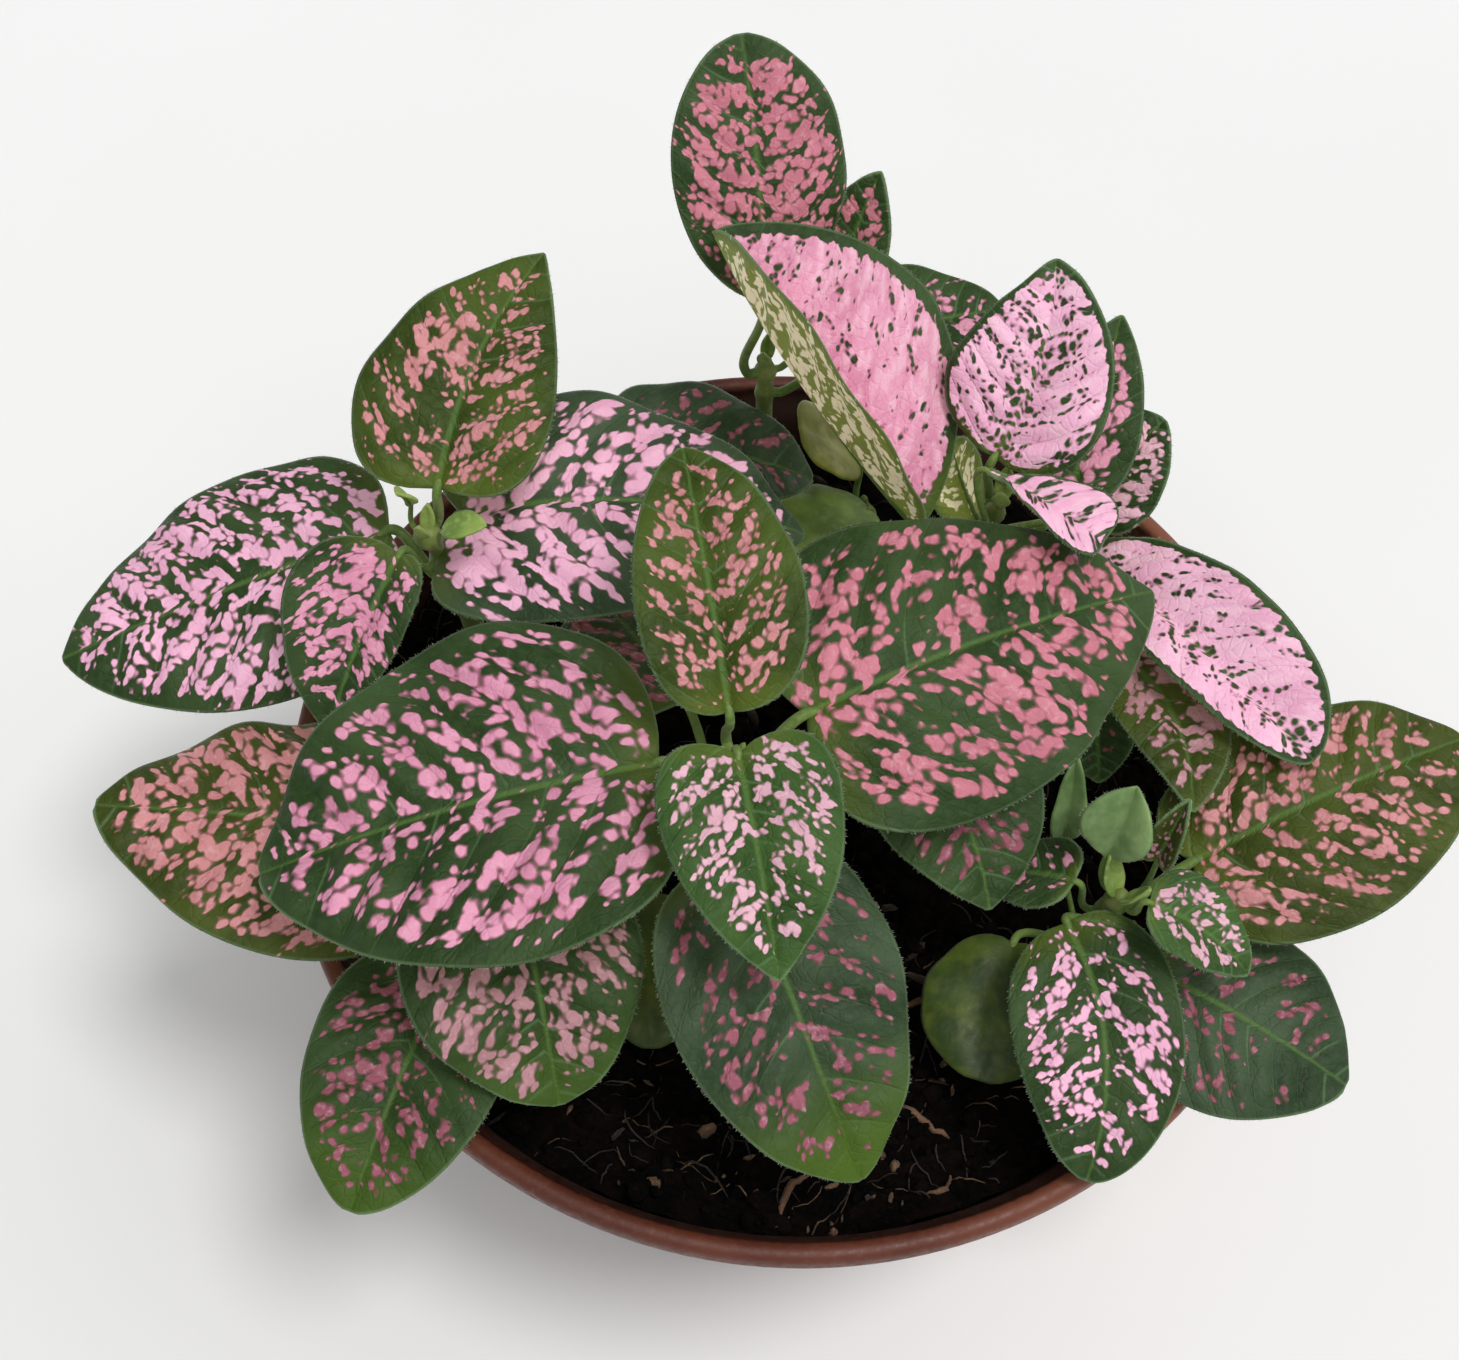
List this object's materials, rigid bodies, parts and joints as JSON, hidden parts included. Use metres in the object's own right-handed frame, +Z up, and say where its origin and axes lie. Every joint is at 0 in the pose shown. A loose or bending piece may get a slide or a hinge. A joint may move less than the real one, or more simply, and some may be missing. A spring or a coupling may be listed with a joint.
{
  "type": "potted polka dot plant",
  "caption": "Bushy pink-spotted polka dot plant growing in soil in a shallow round nursery pot with a rolled lip and drain holes.",
  "frame": {"origin": "centre of the flat middle of the pot's underside, on the surface the pot stands on", "axes": "+Z up, -Y towards the viewer (the low front edge of the plant), +X to the viewer's right"},
  "size_m": [0.1614, 0.12, 0.1302],
  "materials": {
    "pot": "satin",
    "soil": "matte",
    "stem": "satin",
    "leaf": "satin",
    "bud": "satin",
    "seed": "satin"
  },
  "bodies": {
    "root": {"bud_leaf_left_back": "bud", "bud_leaf_left_right": "bud", "leaf_back_right": "leaf", "leaf_back_small": "leaf", "leaf_back_tall": "leaf", "leaf_centre_back": "leaf", "leaf_centre_front": "leaf", "leaf_centre_left": "leaf", "leaf_centre_low_back": "leaf", "leaf_centre_low_front": "leaf", "leaf_centre_low_right": "leaf", "leaf_centre_right": "leaf", "leaf_corner_front": "leaf", "leaf_corner_inner": "leaf", "leaf_corner_outer": "leaf", "leaf_left_back": "leaf", "leaf_left_front": "leaf", "leaf_left_inner": "leaf", "leaf_left_low_back": "leaf", "leaf_left_outer": "leaf", "leaf_rear_curled": "leaf", "leaf_rear_folded": "leaf", "leaf_rear_long": "leaf", "leaf_rear_outer": "leaf", "leaf_rear_second": "leaf", "leaf_rear_top": "leaf", "leaf_right_curl": "leaf", "leaf_right_front": "leaf", "leaf_right_inner": "leaf", "leaf_right_low": "leaf", "leaf_right_outer": "leaf", "leaf_right_pale": "leaf", "leaf_right_young": "leaf", "leaf_side_hidden": "leaf", "leaf_side_low": "leaf", "leaf_side_outer": "leaf", "pot": "pot", "seed_leaf_corner": "seed", "seed_leaf_flat": "seed", "seed_leaf_notched": "seed", "seed_leaf_right_narrow": "seed", "seed_leaf_right_round": "seed", "soil": "soil", "stem_back": "stem", "stem_centre": "stem", "stem_corner": "stem", "stem_left": "stem", "stem_rear": "stem", "stem_right": "stem", "stem_seedling": "stem", "stem_side": "stem"}
  },
  "joints": []
}
